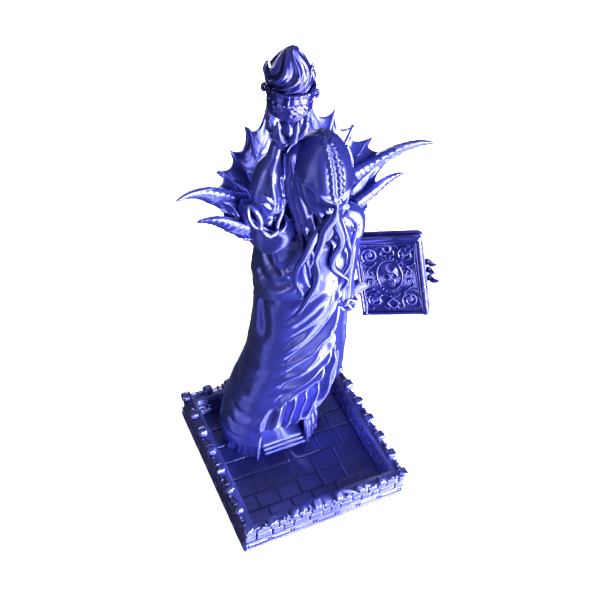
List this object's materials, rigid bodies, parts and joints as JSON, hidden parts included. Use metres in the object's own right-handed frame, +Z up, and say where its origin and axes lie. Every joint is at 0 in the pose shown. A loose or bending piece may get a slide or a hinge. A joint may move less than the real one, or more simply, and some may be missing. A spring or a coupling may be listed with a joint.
{
  "type": "dice tower",
  "caption": "Dice tower shaped as a tentacled robed sorcerer with a raised brazier and a held book, in a walled catch tray; dice drop in behind the head and roll out of an arch.",
  "frame": {"origin": "centre of the tray's underside", "axes": "+Z up, -Y the tray's open front that dice roll towards, +X the viewer's right"},
  "size_m": [0.1204, 0.0952, 0.253],
  "materials": {
    "silk_filament": "silk sheen over fine horizontal print layers"
  },
  "bodies": {
    "tray": {"tray_base": "silk_filament", "tray_wall": "silk_filament", "tray_knobs": "silk_filament"},
    "tower": {"underskirt": "silk_filament", "robe_lower": "silk_filament", "robe_upper": "silk_filament", "shoulder_yoke": "silk_filament", "exit_ramp": "silk_filament", "deflector_lower": "silk_filament", "deflector_middle": "silk_filament", "deflector_upper": "silk_filament", "collar": "silk_filament", "horn_upper_left": "silk_filament", "horn_upper_right": "silk_filament", "horn_lower_left": "silk_filament", "horn_lower_right": "silk_filament", "head": "silk_filament", "face_tentacles": "silk_filament", "right_sleeve": "silk_filament", "right_forearm": "silk_filament", "brazier_bowl": "silk_filament", "left_sleeve": "silk_filament", "left_hand": "silk_filament", "book_front_cover": "silk_filament", "book_pages": "silk_filament", "book_back_cover": "silk_filament"},
    "flame": {"flame": "silk_filament"}
  },
  "joints": [
    {"name": "tower_lift", "type": "slide", "parent": "tray", "child": "tower", "axis": [0, 0, 1], "range_m": [0, 0.03]},
    {"name": "flame_lift", "type": "slide", "parent": "tower", "child": "flame", "axis": [0, 0, 1], "range_m": [0, 0.012]}
  ]
}
